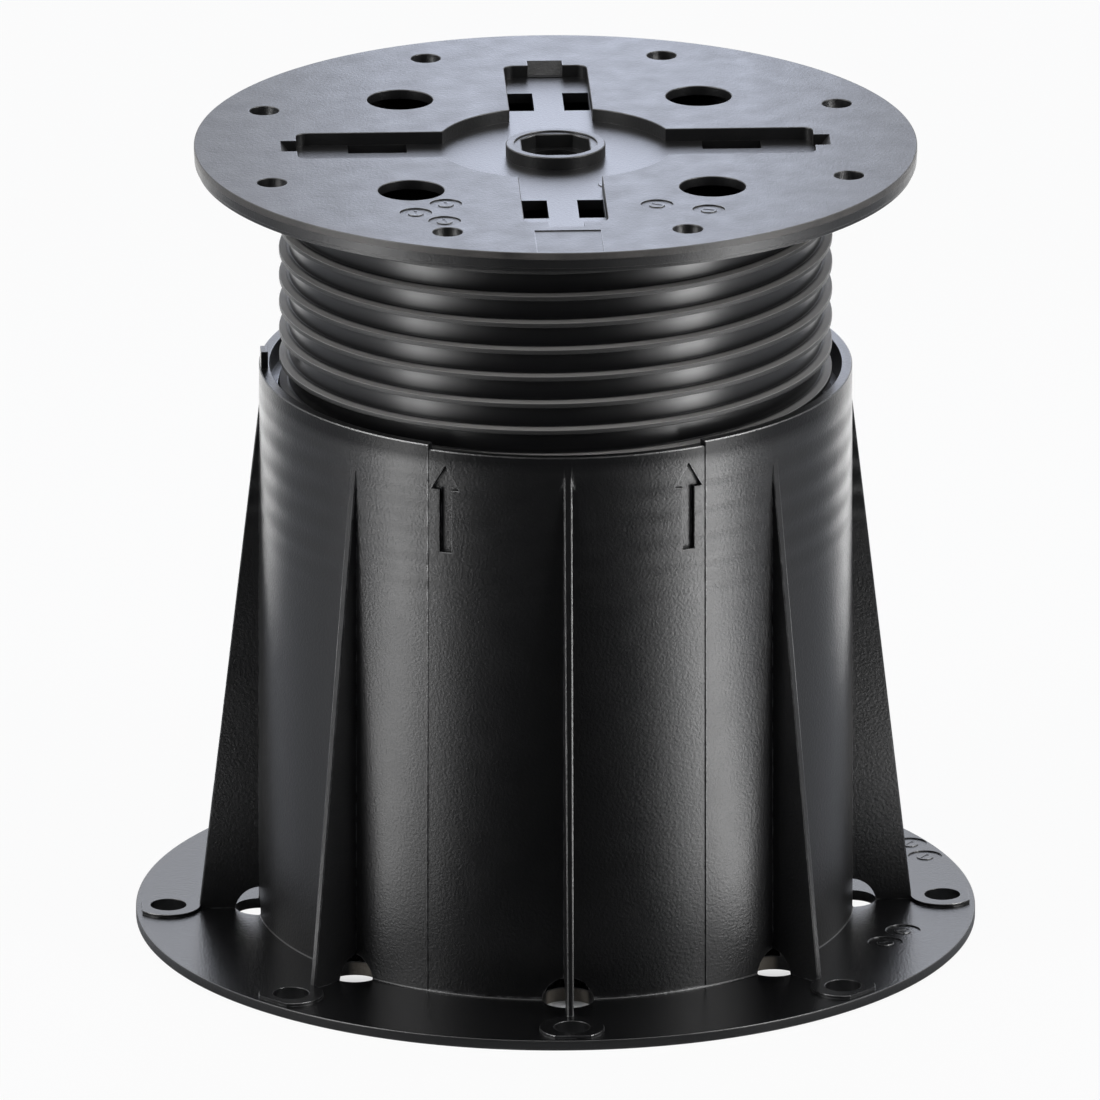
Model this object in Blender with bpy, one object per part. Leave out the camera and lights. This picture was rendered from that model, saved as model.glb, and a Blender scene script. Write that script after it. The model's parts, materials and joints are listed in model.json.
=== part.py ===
"""Adjustable decking pedestal, black moulded polypropylene.

Two mouldings: a finned base with a threaded collar, and a screw head, whose hollow threaded
barrel carries the round top plate. The origin is the centre of the underside of the base, +Z
is up, and one fin points along -Y, the front.
"""
import math

import bmesh
import bpy
from mathutils import Matrix, Vector

# Screw thread, right-handed with one start
PITCH = 0.0066
CREST_RADIUS = 0.0655
THREAD_DEPTH = 0.0024
CREST_WIDTH = 0.0011
UPPER_FLANK_RISE = 0.0003
LOWER_FLANK_RISE = 0.0006
CREST_DROP_AT_FRONT = 0.0176
RUNNING_CLEARANCE = 0.0003

# Round top plate
HEAD_HEIGHT = 0.1924
PLATE_DIAMETER = 0.171
PLATE_THICKNESS = 0.0024
LIP_DEPTH = 0.0049
LIP_WIDTH = 0.0024
LIP_STEP = 0.0006
LIP_STEP_HEIGHT = 0.001
PLATE_EDGE_CHAMFER = 0.0003
BARREL_LENGTH = 0.1365
BARREL_WALL = 0.0025

# Cross-shaped recess in the plate, with its key notches and slots
RECESS_DEPTH = 0.0031
RECESS_FLOOR = 0.0024
RECESS_HUB_RADIUS = 0.0282
ARM_COUNT = 4
ARM_WIDTH = 0.0197
ARM_REACH = 0.0612
ARM_CORNER_RADIUS = 0.0024
NOTCH_WIDTH = 0.0083
NOTCH_REACH = 0.065
NOTCH_DEPTH = 0.0029
NOTCH_SLOPE_RUN = 0.0022
SLOT_WIDTH = 0.0062
SLOT_LENGTH = 0.0139
SLOT_NEAR_RADIUS = 0.035
SLOT_SIDE_GAP = 0.0001

# Centre boss with its key socket
HUB_BOSS_DIAMETER = 0.0236
HUB_STEP_DIAMETER = 0.0196
HUB_STEP_DEPTH = 0.0004
SOCKET_ACROSS_FLATS = 0.016
SOCKET_CORNER_CUT = 0.0036
SOCKET_DEPTH = 0.0038
BORE_DIAMETER = 0.013

# Round holes in the plate
LARGE_HOLE_COUNT = 4
LARGE_HOLE_DIAMETER = 0.0156
LARGE_HOLE_RADIUS = 0.0502
SMALL_HOLE_COUNT = 8
SMALL_HOLE_DIAMETER = 0.007
SMALL_HOLE_RADIUS = 0.0736

# Base: flange, collar and inner floor
FLANGE_WIDTH = 0.0297
FLANGE_THICKNESS = 0.0025
FLANGE_EDGE_CHAMFER = 0.0003
FLOOR_THICKNESS = 0.0035
FLOOR_OPENING_DIAMETER = 0.104
COLLAR_HEIGHT = 0.1381
COLLAR_WALL = 0.0025
COLLAR_DRAFT = 0.0005
COLLAR_FOOT_FILLET = 0.0008
COLLAR_RIM_CHAMFER = 0.0004
COLLAR_RIDGE_DEPTH = 0.002
COLLAR_RIDGE_WIDTH = 0.0012
COLLAR_BORE_RELIEF = 0.0002
COLLAR_THREAD_LENGTH = 0.0363
COLLAR_THREAD_TOP_GAP = 0.003

# Front panel of the collar, set back and a little lower, with its two arrow marks
PANEL_HALF_ANGLE = math.radians(27.7)
PANEL_SET_BACK = 0.0004
PANEL_RIM_DROP = 0.0012
ARROW_ANGLE = math.radians(24.2)
ARROW_DEPTH = 0.0013
ARROW_TOP_GAP = 0.0048
ARROW_LENGTH = 0.0213
ARROW_HEAD_LENGTH = 0.0059
ARROW_HEAD_WIDTH = 0.0068
ARROW_SHAFT_WIDTH = 0.0029

# Stop block on the rim, just under the plate when the head is screwed right down
STOP_ANGLE = math.radians(180.4)
STOP_WIDTH = 0.0052
STOP_SKIN = 0.0001
STOP_CLEARANCE = 0.0003
LOWEST_HEAD_HEIGHT = 0.145

# Fins, their feet and the drain mouths under them
FIN_COUNT = 8
FIN_ROOT_THICKNESS = 0.002
FIN_EDGE_THICKNESS = 0.0015
FIN_TOE_INTO_PAD = 0.00035
FIN_TOP_GAP = 0.0071
FOOT_HOLE_EDGE_DISTANCE = 0.0077
FOOT_RING_DIAMETER = 0.0153
FOOT_RING_HEIGHT = 0.0008
FOOT_RING_EDGE_GAP = 0.0014
FOOT_HOLE_DIAMETER = 0.0085
DRAIN_RADIUS = 0.0062
DRAIN_HEIGHT = 0.0079

# Facets round a full turn
PLATE_SEGMENTS = 72
THREAD_SEGMENTS = 36
HOLE_SEGMENTS = 16
DRAIN_SEGMENTS = 12

TURN = 2 * math.pi
FRONT = -math.pi / 2
OVERLAP = 0.0008
CUT_PAST = 0.002

# Sizes that follow from the ones above
root_radius = CREST_RADIUS - THREAD_DEPTH
bore_radius = root_radius - BARREL_WALL
plate_radius = PLATE_DIAMETER / 2
plate_underside = HEAD_HEIGHT - PLATE_THICKNESS
crest_height = HEAD_HEIGHT - CREST_DROP_AT_FRONT
barrel_bottom = plate_underside - BARREL_LENGTH
recess_floor_top = HEAD_HEIGHT - RECESS_DEPTH
recess_floor_bottom = recess_floor_top - RECESS_FLOOR
collar_bore_radius = CREST_RADIUS + RUNNING_CLEARANCE + COLLAR_RIDGE_DEPTH
collar_radius = collar_bore_radius + COLLAR_WALL
flange_radius = collar_radius + FLANGE_WIDTH
foot_circle_radius = flange_radius - FOOT_HOLE_EDGE_DISTANCE
fin_toe_radius = foot_circle_radius - FOOT_RING_DIAMETER / 2 + FIN_TOE_INTO_PAD
stop_top = LOWEST_HEAD_HEIGHT - PLATE_THICKNESS - STOP_CLEARANCE


def object_from(bm, name, cutter=False):
    """Make the shape a scene object; a cutter only lends its shape to a Boolean."""
    bmesh.ops.remove_doubles(bm, verts=bm.verts, dist=1e-7)
    bmesh.ops.recalc_face_normals(bm, faces=bm.faces)
    mesh = bpy.data.meshes.new(name)
    bm.to_mesh(mesh)
    bm.free()
    obj = bpy.data.objects.new(name, mesh)
    bpy.context.scene.collection.objects.link(obj)
    if cutter:
        obj.hide_render = True
        obj.display_type = "WIRE"
    return obj


def combine(target, operation, label, *shapes):
    """Join shapes to the target, or cut them away, with one exact Boolean."""
    group = bpy.data.collections.new(label)
    for shape in shapes:
        tool = object_from(shape, label, cutter=True)
        bpy.context.scene.collection.objects.unlink(tool)
        group.objects.link(tool)
    bpy.context.scene.collection.children.link(group)
    modifier = target.modifiers.new(label, "BOOLEAN")
    modifier.operation = operation
    modifier.solver = "EXACT"
    modifier.operand_type = "COLLECTION"
    modifier.collection = group


def spun(profile, segments, start=0.0, sweep=TURN, rise=0.0):
    """Turn a closed (radius, height) outline about Z; a rise makes it climb as a coil."""
    bm = bmesh.new()
    verts = [bm.verts.new((r * math.cos(start), r * math.sin(start), z)) for r, z in profile]
    edges = [bm.edges.new(pair) for pair in zip(verts, verts[1:] + verts[:1])]
    closed = rise == 0.0 and sweep == TURN
    bmesh.ops.spin(bm, geom=verts + edges, cent=(0, 0, 0), axis=(0, 0, 1),
                   dvec=(0, 0, rise / segments), angle=sweep, steps=segments,
                   use_merge=closed, use_duplicate=False)
    if not closed:
        open_edges = [edge for edge in bm.edges if edge.is_boundary]
        bmesh.ops.holes_fill(bm, edges=open_edges, sides=0)
    return bm


def extruded(points, vector):
    """Extrude a flat outline of 3-D points along a vector."""
    bm = bmesh.new()
    face = bm.faces.new([bm.verts.new(point) for point in points])
    raised = bmesh.ops.extrude_face_region(bm, geom=[face], use_keep_orig=True)["geom"]
    top = [item for item in raised if isinstance(item, bmesh.types.BMVert)]
    bmesh.ops.translate(bm, verts=top, vec=vector)
    return bm


def upright(outline, bottom, top):
    """Extrude a plan outline from one height to another."""
    return extruded([(x, y, bottom) for x, y in outline], (0, 0, top - bottom))


def cylinder(radius, x, y, bottom, top, segments):
    """A plain round bar standing on (x, y)."""
    bm = bmesh.new()
    place = Matrix.Translation((x, y, (bottom + top) / 2))
    bmesh.ops.create_cone(bm, cap_ends=True, segments=segments, radius1=radius, radius2=radius,
                          depth=top - bottom, matrix=place)
    return bm


def turned(bm, angle):
    """Turn a shape about Z."""
    bmesh.ops.rotate(bm, verts=bm.verts, cent=(0, 0, 0), matrix=Matrix.Rotation(angle, 3, "Z"))
    return bm


def repeated(bm, count, first_angle=0.0):
    """Repeat a shape evenly round Z, the first copy at the given angle."""
    source = bm.verts[:] + bm.edges[:] + bm.faces[:]
    for index in range(1, count):
        copy = bmesh.ops.duplicate(bm, geom=source)["geom"]
        verts = [item for item in copy if isinstance(item, bmesh.types.BMVert)]
        step = Matrix.Rotation(TURN * index / count, 3, "Z")
        bmesh.ops.rotate(bm, verts=verts, cent=(0, 0, 0), matrix=step)
    return turned(bm, first_angle)


def arc(radius, centre, start, end, steps):
    """Points along an arc, ends included."""
    angles = [start + (end - start) * step / steps for step in range(steps + 1)]
    return [(centre[0] + radius * math.cos(a), centre[1] + radius * math.sin(a)) for a in angles]


def moulded_material():
    """Black satin polypropylene."""
    material = bpy.data.materials.new("black_polypropylene")
    material.use_nodes = True
    shader = material.node_tree.nodes["Principled BSDF"]
    shader.inputs["Base Color"].default_value = (0.012, 0.012, 0.013, 1.0)
    shader.inputs["Roughness"].default_value = 0.42
    shader.inputs["Metallic"].default_value = 0.0
    return material


def threaded_rod(root, crest, crest_width, height_at_front, bottom, top):
    """A solid rod with a one-start thread, its ends cut flat; the crest may be a groove.

    The open outline spans one pitch, so each turn of the coil meets the next edge to edge.
    """
    half = crest_width / 2
    turns = math.ceil((top - bottom) / PITCH) + 2
    middle = height_at_front - PITCH * (math.floor((height_at_front - bottom) / PITCH) + 2)
    outline = [(root, middle - half - LOWER_FLANK_RISE), (crest, middle - half),
               (crest, middle + half), (root, middle + half + UPPER_FLANK_RISE),
               (root, middle - half - LOWER_FLANK_RISE + PITCH)]
    bm = bmesh.new()
    verts = [bm.verts.new((0, -r, z)) for r, z in outline]
    edges = [bm.edges.new(pair) for pair in zip(verts, verts[1:])]
    steps = turns * THREAD_SEGMENTS
    bmesh.ops.spin(bm, geom=verts + edges, cent=(0, 0, 0), axis=(0, 0, 1),
                   dvec=(0, 0, PITCH / THREAD_SEGMENTS), angle=turns * TURN, steps=steps,
                   use_merge=False, use_duplicate=False)
    bmesh.ops.remove_doubles(bm, verts=bm.verts, dist=1e-5)
    for height, facing in ((bottom, 1), (top, -1)):
        geometry = bm.verts[:] + bm.edges[:] + bm.faces[:]
        bmesh.ops.bisect_plane(bm, geom=geometry, plane_co=(0, 0, height),
                               plane_no=(0, 0, facing), clear_inner=True)
        rim = [edge for edge in bm.edges if edge.is_boundary
               and all(abs(vert.co.z - height) < 1e-6 for vert in edge.verts)]
        bmesh.ops.holes_fill(bm, edges=rim, sides=0)
    return bm


def cross_outline(margin):
    """Plan of the recess: a round hub with four arms, all grown outwards by a margin."""
    hub = RECESS_HUB_RADIUS + margin
    half = ARM_WIDTH / 2 + margin
    reach = ARM_REACH + margin
    corner = ARM_CORNER_RADIUS + margin
    quarter = math.pi / 2
    mouth = math.asin(half / hub)
    points = []
    for index in range(ARM_COUNT):
        arm = [(hub * math.cos(mouth), -half)]
        arm += arc(corner, (reach - corner, corner - half), -quarter, 0, 4)
        arm += arc(corner, (reach - corner, half - corner), 0, quarter, 4)
        arm += arc(hub, (0, 0), mouth, quarter - mouth, 4)[:-1]
        turn = Matrix.Rotation(TURN * index / ARM_COUNT, 2)
        points += [turn @ Vector(point) for point in arm]
    return points


def notch_wedge(margin, top):
    """The key notch past an arm's end along +X; its floor slopes up to the plate's face."""
    half = NOTCH_WIDTH / 2 + margin
    floor = HEAD_HEIGHT - NOTCH_DEPTH - margin
    slope = NOTCH_SLOPE_RUN / NOTCH_DEPTH
    foot = NOTCH_REACH - NOTCH_SLOPE_RUN + margin / 2
    head = foot + slope * (top - floor)
    start = ARM_REACH - ARM_CORNER_RADIUS
    points = [(start, floor), (foot, floor), (head, top), (start, top)]
    return extruded([(x, -half, z) for x, z in points], (0, 2 * half, 0))


def build_screw_head(material):
    """The top plate, the hollow barrel and its thread, moulded as one piece."""
    r = plate_radius
    top = HEAD_HEIGHT
    under = plate_underside
    lip_bottom = top - LIP_DEPTH
    step_height = lip_bottom + LIP_STEP_HEIGHT
    inner = BORE_DIAMETER / 4
    plate = [(inner, top), (r - PLATE_EDGE_CHAMFER, top), (r, top - PLATE_EDGE_CHAMFER),
             (r, step_height), (r - LIP_STEP, step_height), (r - LIP_STEP, lip_bottom),
             (r - LIP_WIDTH, lip_bottom), (r - LIP_WIDTH, under), (inner, under)]
    head = object_from(spun(plate, PLATE_SEGMENTS), "screw_head")
    head.data.materials.append(material)

    embedded = under + OVERLAP
    rod = threaded_rod(root_radius, CREST_RADIUS, CREST_WIDTH, crest_height,
                       barrel_bottom, embedded)
    combine(head, "UNION", "threaded_barrel", rod)
    bore = cylinder(bore_radius, 0, 0, barrel_bottom - CUT_PAST, under, THREAD_SEGMENTS)
    combine(head, "DIFFERENCE", "barrel_bore", bore)

    # Sunken tray under the recess
    tray = upright(cross_outline(RECESS_FLOOR), recess_floor_bottom, embedded)
    notches = repeated(notch_wedge(RECESS_FLOOR / 2, under + OVERLAP / 2), ARM_COUNT)
    combine(head, "UNION", "recess_tray", tray, notches)

    # The recess itself
    past = top + CUT_PAST
    pocket = upright(cross_outline(0.0), recess_floor_top, past)
    notches = repeated(notch_wedge(0.0, past + CUT_PAST), ARM_COUNT)
    combine(head, "DIFFERENCE", "recess", pocket, notches)

    # Centre boss
    boss = cylinder(HUB_BOSS_DIAMETER / 2, 0, 0, recess_floor_top - OVERLAP, top, THREAD_SEGMENTS)
    combine(head, "UNION", "hub_boss", boss)

    # Key socket and bore in the boss, slots along both sides of each arm, and round holes
    step = cylinder(HUB_STEP_DIAMETER / 2, 0, 0, top - HUB_STEP_DEPTH, past, THREAD_SEGMENTS)
    flat = SOCKET_ACROSS_FLATS / 2
    cut = flat - SOCKET_CORNER_CUT
    octagon = [(flat, cut), (cut, flat), (-cut, flat), (-flat, cut),
               (-flat, -cut), (-cut, -flat), (cut, -flat), (flat, -cut)]
    socket = upright(octagon, top - SOCKET_DEPTH, past + CUT_PAST)
    below = recess_floor_bottom - CUT_PAST
    bore = cylinder(BORE_DIAMETER / 2, 0, 0, below, top - SOCKET_DEPTH + OVERLAP, HOLE_SEGMENTS)
    combine(head, "DIFFERENCE", "hub_socket", step, socket, bore)
    slots = []
    outer = ARM_WIDTH / 2 - SLOT_SIDE_GAP
    near = outer - SLOT_WIDTH
    far = SLOT_NEAR_RADIUS + SLOT_LENGTH
    for side in (1, -1):
        outline = [(SLOT_NEAR_RADIUS, side * near), (far, side * near),
                   (far, side * outer), (SLOT_NEAR_RADIUS, side * outer)]
        slots.append(repeated(upright(outline, below, recess_floor_top + CUT_PAST), ARM_COUNT))
    large = cylinder(LARGE_HOLE_DIAMETER / 2, LARGE_HOLE_RADIUS, 0, below, past, HOLE_SEGMENTS)
    large = repeated(large, LARGE_HOLE_COUNT, TURN / (2 * LARGE_HOLE_COUNT))
    small = cylinder(SMALL_HOLE_DIAMETER / 2, SMALL_HOLE_RADIUS, 0, below, past, HOLE_SEGMENTS)
    small = repeated(small, SMALL_HOLE_COUNT, TURN / (2 * SMALL_HOLE_COUNT))
    combine(head, "DIFFERENCE", "slots_and_holes", *slots, large, small)
    return head


def fin_shape():
    """One tapered fin along +X, from the foot ring's edge up to just under the rim."""
    inner = collar_bore_radius + COLLAR_WALL / 2
    tip = collar_radius - COLLAR_DRAFT / 2
    top = COLLAR_HEIGHT - FIN_TOP_GAP
    low = FLANGE_THICKNESS / 2
    half = FIN_ROOT_THICKNESS / 2
    points = [(inner, low), (fin_toe_radius, low), (fin_toe_radius, FLANGE_THICKNESS),
              (tip, top), (inner, top)]
    bm = extruded([(x, -half, z) for x, z in points], (0, 2 * half, 0))
    for vert in bm.verts:
        if vert.co.x > collar_radius:
            vert.co.y *= FIN_EDGE_THICKNESS / FIN_ROOT_THICKNESS
    return bm


def foot_ring():
    """A low round pad for a fixing screw, cut straight just inside the flange's edge."""
    top = FLANGE_THICKNESS + FOOT_RING_HEIGHT
    bm = cylinder(FOOT_RING_DIAMETER / 2, foot_circle_radius, 0, FLANGE_THICKNESS / 2, top,
                  2 * HOLE_SEGMENTS)
    geometry = bm.verts[:] + bm.edges[:] + bm.faces[:]
    limit = flange_radius - FOOT_RING_EDGE_GAP
    bmesh.ops.bisect_plane(bm, geom=geometry, plane_co=(limit, 0, 0), plane_no=(1, 0, 0),
                           clear_outer=True)
    open_edges = [edge for edge in bm.edges if edge.is_boundary]
    bmesh.ops.holes_fill(bm, edges=open_edges, sides=0)
    return bm


def drain_mouth():
    """Domed cutter at a fin's inner corner, through the flange, the wall and the fin."""
    sphere_middle = DRAIN_HEIGHT - DRAIN_RADIUS
    quarter = math.pi / 2
    dome = arc(DRAIN_RADIUS, (0.0, sphere_middle), 0.0, quarter, 3)
    profile = [(0.0, -CUT_PAST), (DRAIN_RADIUS, -CUT_PAST)] + dome[:-1] + [(0.0, DRAIN_HEIGHT)]
    bm = bmesh.new()
    verts = [bm.verts.new((r, 0, z)) for r, z in profile]
    edges = [bm.edges.new(pair) for pair in zip(verts, verts[1:])]
    bmesh.ops.spin(bm, geom=verts + edges, cent=(0, 0, 0), axis=(0, 0, 1), dvec=(0, 0, 0),
                   angle=TURN, steps=DRAIN_SEGMENTS, use_merge=True, use_duplicate=False)
    bmesh.ops.remove_doubles(bm, verts=bm.verts, dist=1e-6)
    bmesh.ops.translate(bm, verts=bm.verts, vec=(collar_radius, 0, 0))
    return bm


def arrow_mark():
    """Upward arrow cutter along +X, sunk into the collar's outer face."""
    top = COLLAR_HEIGHT - ARROW_TOP_GAP
    neck = top - ARROW_HEAD_LENGTH
    tail = top - ARROW_LENGTH
    head = ARROW_HEAD_WIDTH / 2
    shaft = ARROW_SHAFT_WIDTH / 2
    outline = [(0, top), (-head, neck), (-shaft, neck), (-shaft, tail),
               (shaft, tail), (shaft, neck), (head, neck)]
    floor = collar_radius - PANEL_SET_BACK - ARROW_DEPTH
    return extruded([(floor, y, z) for y, z in outline], (ARROW_DEPTH + CUT_PAST, 0, 0))


def build_base(material):
    """The flange, collar, fins and feet, moulded as one piece."""
    opening = FLOOR_OPENING_DIAMETER / 2
    edge = FLANGE_EDGE_CHAMFER
    foot = collar_radius + COLLAR_DRAFT
    fillet = COLLAR_FOOT_FILLET
    rim = COLLAR_RIM_CHAMFER
    relief = collar_bore_radius + COLLAR_BORE_RELIEF
    thread_top = COLLAR_HEIGHT - COLLAR_THREAD_TOP_GAP
    thread_bottom = thread_top - COLLAR_THREAD_LENGTH
    uncut = CREST_RADIUS - OVERLAP
    section = [(opening, 0), (flange_radius - edge, 0), (flange_radius, edge),
               (flange_radius, FLANGE_THICKNESS - edge), (flange_radius - edge, FLANGE_THICKNESS),
               (foot + fillet, FLANGE_THICKNESS), (foot, FLANGE_THICKNESS + fillet),
               (collar_radius, COLLAR_HEIGHT), (relief + rim, COLLAR_HEIGHT),
               (relief, COLLAR_HEIGHT - rim), (relief, thread_top), (uncut, thread_top),
               (uncut, thread_bottom), (relief, thread_bottom), (relief, FLOOR_THICKNESS),
               (opening, FLOOR_THICKNESS)]
    base = object_from(spun(section, PLATE_SEGMENTS, FRONT), "base")
    base.data.materials.append(material)

    # Front panel, set back from the wall and lower at the rim
    beyond = foot + fillet + CUT_PAST
    above = COLLAR_HEIGHT + CUT_PAST
    low = FLANGE_THICKNESS + fillet
    panel = [(foot - PANEL_SET_BACK, low), (beyond, low), (beyond, above),
             (collar_radius - PANEL_SET_BACK, above)]
    start = FRONT - PANEL_HALF_ANGLE
    sweep = 2 * PANEL_HALF_ANGLE
    steps = round(PLATE_SEGMENTS * sweep / TURN)
    drop = COLLAR_HEIGHT - PANEL_RIM_DROP
    within = collar_bore_radius - CUT_PAST
    dip = [(within, drop), (beyond + CUT_PAST, drop), (beyond + CUT_PAST, above + CUT_PAST),
           (within, above + CUT_PAST)]
    combine(base, "DIFFERENCE", "front_panel", spun(panel, steps, start, sweep),
            spun(dip, steps, start, sweep))

    # Fins, foot pads and the stop block on the rim
    skin = STOP_SKIN
    block = [(relief + rim + skin, COLLAR_HEIGHT - OVERLAP),
             (collar_radius - skin, COLLAR_HEIGHT - OVERLAP),
             (collar_radius - skin, stop_top), (relief + rim + skin, stop_top)]
    width = STOP_WIDTH / collar_radius
    stop = spun(block, 2, STOP_ANGLE - width / 2, width)
    combine(base, "UNION", "fins_and_feet", repeated(fin_shape(), FIN_COUNT, FRONT),
            repeated(foot_ring(), FIN_COUNT, FRONT), stop)

    # Foot holes and drain mouths
    hole = cylinder(FOOT_HOLE_DIAMETER / 2, foot_circle_radius, 0, -CUT_PAST,
                    FLANGE_THICKNESS + FOOT_RING_HEIGHT + CUT_PAST, HOLE_SEGMENTS)
    combine(base, "DIFFERENCE", "holes_and_drains", repeated(hole, FIN_COUNT, FRONT),
            repeated(drain_mouth(), FIN_COUNT, FRONT))

    # The collar's thread, whose ridge runs just under the screw's crest and carries it, and
    # the arrow marks sunk into the panel
    ridge_radius = collar_bore_radius - COLLAR_RIDGE_DEPTH
    ridge_height = crest_height - (CREST_WIDTH + COLLAR_RIDGE_WIDTH) / 2
    tap = threaded_rod(collar_bore_radius, ridge_radius, COLLAR_RIDGE_WIDTH, ridge_height,
                       thread_bottom - CUT_PAST / 2, thread_top + CUT_PAST / 2)
    marks = [turned(arrow_mark(), FRONT + side * ARROW_ANGLE) for side in (-1, 1)]
    combine(base, "DIFFERENCE", "thread_and_arrows", tap, *marks)
    return base


def main():
    for obj in list(bpy.data.objects):
        bpy.data.objects.remove(obj, do_unlink=True)
    material = moulded_material()
    build_base(material)
    build_screw_head(material)


main()
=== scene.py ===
import json
import math
import bmesh
import bpy
from mathutils import Matrix, Vector

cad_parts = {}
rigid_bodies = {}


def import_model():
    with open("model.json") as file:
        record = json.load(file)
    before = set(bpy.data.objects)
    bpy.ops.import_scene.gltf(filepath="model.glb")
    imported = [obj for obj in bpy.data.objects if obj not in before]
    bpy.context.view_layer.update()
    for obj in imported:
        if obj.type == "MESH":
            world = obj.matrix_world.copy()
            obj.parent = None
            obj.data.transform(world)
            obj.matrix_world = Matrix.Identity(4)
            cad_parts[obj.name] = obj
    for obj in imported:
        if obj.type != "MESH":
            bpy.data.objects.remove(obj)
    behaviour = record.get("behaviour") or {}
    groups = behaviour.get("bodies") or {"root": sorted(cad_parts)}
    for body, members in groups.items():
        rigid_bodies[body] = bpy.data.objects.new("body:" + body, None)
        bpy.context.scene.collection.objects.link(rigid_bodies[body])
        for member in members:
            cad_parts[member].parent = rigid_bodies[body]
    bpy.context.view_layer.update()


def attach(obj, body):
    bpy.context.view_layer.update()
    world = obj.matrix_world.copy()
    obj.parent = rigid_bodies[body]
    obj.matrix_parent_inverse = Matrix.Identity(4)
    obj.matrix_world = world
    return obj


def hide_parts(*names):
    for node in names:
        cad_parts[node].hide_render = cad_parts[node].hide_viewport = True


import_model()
scene = bpy.context.scene

# Camera
# A long lens far in front of the pedestal, a little above it, on the photograph's viewing
# line. The small shift only centres the pedestal as the photograph does.
CAMERA_DISTANCE = 7.094
CAMERA_ELEVATION = math.radians(18.355)
CAMERA_HEADING = math.radians(267.6)
CAMERA_AIM = Vector((0, 0, 0.090))
CAMERA_LENS = 977.8
CAMERA_SHIFT = (-0.00506, 0.00363)
HEAD_HEIGHT = 0.1924


def seen_from(heading, elevation, distance, aim=CAMERA_AIM):
    """A place at a heading and an elevation from a point, and the turn that faces the point."""
    level = math.cos(elevation)
    line = Vector((level * math.cos(heading), level * math.sin(heading), math.sin(elevation)))
    return aim + line * distance, (-line).to_track_quat("-Z", "Y").to_euler()


camera_data = bpy.data.cameras.new("camera")
camera_data.sensor_width = 36.0
camera_data.lens = CAMERA_LENS
camera_data.shift_x, camera_data.shift_y = CAMERA_SHIFT
camera_data.clip_end = 20.0
camera = bpy.data.objects.new("camera", camera_data)
camera.location, camera.rotation_euler = seen_from(CAMERA_HEADING, CAMERA_ELEVATION, CAMERA_DISTANCE)
scene.collection.objects.link(camera)
scene.camera = camera
scene.view_settings.view_transform = "Standard"

# Floor
# A pale studio table. The camera sees it close to white, and the pedestal's soft shadow stays
# on it; only the strip right under the front of the flange lies in deep shade.
FLOOR_COLOUR = (0.80, 0.80, 0.81, 1)
FLOOR_HALF = 6.0
SHARE_IN_VIEW = 0.94
SHARE_BELOW = 0.02
SHADE_REACH = (0.0995, 0.0985)
SHADE_FRONT = (-0.040, -0.062)


def new_object(bm, name, *materials):
    """Make a finished shape a scene object, its faces pointing outwards."""
    bmesh.ops.remove_doubles(bm, verts=bm.verts, dist=1e-7)
    bmesh.ops.recalc_face_normals(bm, faces=bm.faces)
    mesh = bpy.data.meshes.new(name)
    bm.to_mesh(mesh)
    bm.free()
    obj = bpy.data.objects.new(name, mesh)
    scene.collection.objects.link(obj)
    for material in materials:
        mesh.materials.append(material)
    return obj


def node_material(name):
    """A new material, its node tree and its Principled shader."""
    material = bpy.data.materials.new(name)
    material.use_nodes = True
    tree = material.node_tree
    return material, tree, tree.nodes["Principled BSDF"]


def math_node(tree, operation, first, second=None):
    """A math node fed by sockets or plain numbers; gives its output."""
    node = tree.nodes.new("ShaderNodeMath")
    node.operation = operation
    for socket, value in zip(node.inputs, (first, second)):
        if isinstance(value, bpy.types.NodeSocket):
            tree.links.new(value, socket)
        elif value is not None:
            socket.default_value = value
    return node.outputs[0]


def ramp(tree, value, low, high, to_low=0.0, to_high=1.0):
    """Map a value between two marks to a range, clamped at both."""
    node = tree.nodes.new("ShaderNodeMapRange")
    node.inputs["From Min"].default_value = low
    node.inputs["From Max"].default_value = high
    node.inputs["To Min"].default_value = to_low
    node.inputs["To Max"].default_value = to_high
    tree.links.new(value, node.inputs["Value"])
    return node.outputs["Result"]


def place_parts(tree):
    """The Object coordinates as x, y, z and the distance from the pedestal's axis."""
    place = tree.nodes.new("ShaderNodeTexCoord")
    split = tree.nodes.new("ShaderNodeSeparateXYZ")
    tree.links.new(place.outputs["Object"], split.inputs[0])
    x, y, z = split.outputs
    squares = [math_node(tree, "MULTIPLY", way, way) for way in (x, y)]
    return x, y, z, math_node(tree, "SQRT", math_node(tree, "ADD", *squares))


floor_material, tree, shader = node_material("pale_table")
shader.inputs["Base Color"].default_value = FLOOR_COLOUR
shader.inputs["Roughness"].default_value = 0.9
shader.inputs["Specular IOR Level"].default_value = 0.0
glow = tree.nodes.new("ShaderNodeEmission")
glow.inputs["Color"].default_value = (1, 1, 1, 1)
rays = tree.nodes.new("ShaderNodeLightPath")
x, y, z, reach = place_parts(tree)
below = math_node(tree, "MULTIPLY", ramp(tree, reach, *SHADE_REACH), ramp(tree, y, *SHADE_FRONT))
share = math_node(tree, "MULTIPLY", rays.outputs["Is Camera Ray"],
                  ramp(tree, below, 0.0, 1.0, SHARE_IN_VIEW, SHARE_BELOW))
blend = tree.nodes.new("ShaderNodeMixShader")
tree.links.new(share, blend.inputs[0])
tree.links.new(shader.outputs[0], blend.inputs[1])
tree.links.new(glow.outputs[0], blend.inputs[2])
tree.links.new(blend.outputs[0], tree.nodes["Material Output"].inputs["Surface"])
bm = bmesh.new()
bmesh.ops.create_grid(bm, x_segments=1, y_segments=1, size=FLOOR_HALF)
floor = new_object(bm, "studio_table", floor_material)

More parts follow.
